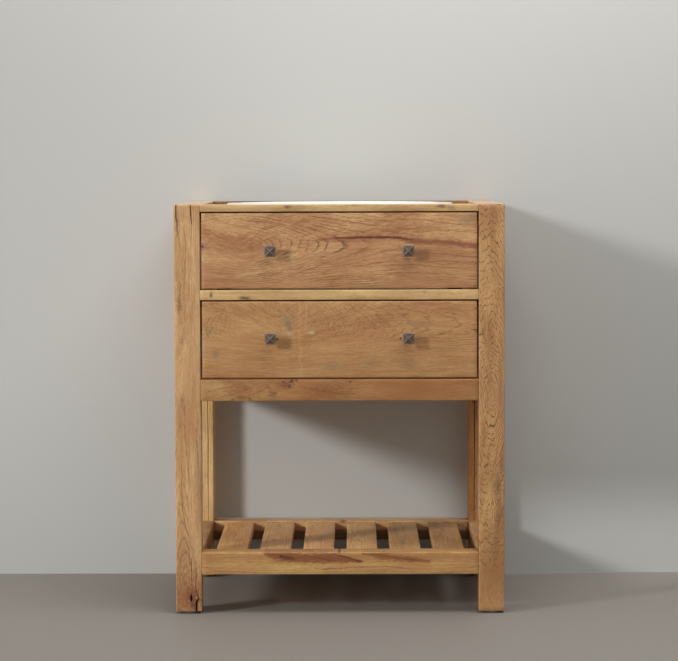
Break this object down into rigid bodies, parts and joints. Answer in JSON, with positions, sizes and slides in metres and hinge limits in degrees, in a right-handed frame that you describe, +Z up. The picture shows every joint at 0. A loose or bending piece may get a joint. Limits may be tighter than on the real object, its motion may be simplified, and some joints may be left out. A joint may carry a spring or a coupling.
{
  "type": "bathroom vanity cabinet",
  "caption": "Freestanding oak bathroom vanity with a built-in oval basin, a drawer notched round the trap, a fixed upper front with knobs and an open slatted shelf.",
  "frame": {"origin": "bottom centre of the whole object's box: on the floor, midway between the knobs' tips and the back", "axes": "+Z up, +X to the right of someone facing the front, the front faces -Y"},
  "size_m": [0.686, 0.574, 0.854],
  "materials": {
    "oak_legs": "oiled reclaimed oak",
    "oak_rails": "oiled reclaimed oak",
    "oak_upper_front": "oiled reclaimed oak",
    "oak_drawer_front": "oiled reclaimed oak",
    "oak_slats": "oiled reclaimed oak",
    "birch_drawer_box": "sealed birch",
    "hidden_timber": "planed pine",
    "glazed_ceramic": "white glaze",
    "dark_metal": "dark bronze, rubbed",
    "slide_steel": "zinc plated",
    "zinc_screws": "zinc plated",
    "white_nylon": "plain"
  },
  "bodies": {
    "cabinet": {"basin": "glazed_ceramic", "basin_bearer_left": "hidden_timber", "basin_bearer_right": "hidden_timber", "cabinet_screws": "zinc_screws", "front_battens": "hidden_timber", "front_bottom_rail": "oak_rails", "front_middle_rail": "oak_rails", "front_top_rail": "oak_rails", "knob_screws_upper": "zinc_screws", "knob_upper_left": "dark_metal", "knob_upper_right": "dark_metal", "leg_front_left": "oak_legs", "leg_front_right": "oak_legs", "leg_glides": "white_nylon", "leg_rear_left": "oak_legs", "leg_rear_right": "oak_legs", "rear_bottom_rail": "oak_rails", "rear_top_rail": "oak_rails", "shelf_cleat_front": "hidden_timber", "shelf_cleat_rear": "hidden_timber", "shelf_front_rail": "oak_rails", "shelf_rear_rail": "oak_rails", "shelf_side_rail_left": "oak_rails", "shelf_side_rail_right": "oak_rails", "shelf_slat_1": "oak_slats", "shelf_slat_2": "oak_slats", "shelf_slat_3": "oak_slats", "shelf_slat_4": "oak_slats", "shelf_slat_5": "oak_slats", "shelf_slat_6": "oak_slats", "side_bottom_rail_left": "oak_rails", "side_bottom_rail_right": "oak_rails", "side_panel_left": "oak_rails", "side_panel_right": "oak_rails", "side_top_rail_left": "oak_rails", "side_top_rail_right": "oak_rails", "slide_outer_left": "slide_steel", "slide_outer_right": "slide_steel", "slide_packers": "hidden_timber", "upper_front": "oak_upper_front"},
    "drawer": {"drawer_back_left": "birch_drawer_box", "drawer_back_right": "birch_drawer_box", "drawer_bottom": "birch_drawer_box", "drawer_box_front": "birch_drawer_box", "drawer_front": "oak_drawer_front", "drawer_notch_front": "birch_drawer_box", "drawer_notch_side_left": "birch_drawer_box", "drawer_notch_side_right": "birch_drawer_box", "drawer_screws": "zinc_screws", "drawer_side_left": "birch_drawer_box", "drawer_side_right": "birch_drawer_box", "knob_lower_left": "dark_metal", "knob_lower_right": "dark_metal", "knob_screws_lower": "zinc_screws", "slide_inner_left": "slide_steel", "slide_inner_right": "slide_steel"},
    "slide_intermediates": {"slide_intermediate_left": "slide_steel", "slide_intermediate_right": "slide_steel"},
    "outer_ball_cages": {"slide_outer_balls": "slide_steel"},
    "inner_ball_cages": {"slide_inner_balls": "slide_steel"}
  },
  "joints": [
    {"name": "drawer_slide", "type": "slide", "parent": "cabinet", "child": "drawer", "axis": [0, -1, 0], "range_m": [0, 0.42]},
    {"name": "intermediate_slide", "type": "slide", "parent": "cabinet", "child": "slide_intermediates", "axis": [0, -1, 0], "range_m": [0, 0.21]},
    {"name": "outer_cage_slide", "type": "slide", "parent": "cabinet", "child": "outer_ball_cages", "axis": [0, -1, 0], "range_m": [0, 0.105]},
    {"name": "inner_cage_slide", "type": "slide", "parent": "cabinet", "child": "inner_ball_cages", "axis": [0, -1, 0], "range_m": [0, 0.315]}
  ],
  "couplings": [
    {"joint": "intermediate_slide", "follows": "drawer_slide", "ratio": 0.5},
    {"joint": "outer_cage_slide", "follows": "drawer_slide", "ratio": 0.25},
    {"joint": "inner_cage_slide", "follows": "drawer_slide", "ratio": 0.75}
  ]
}
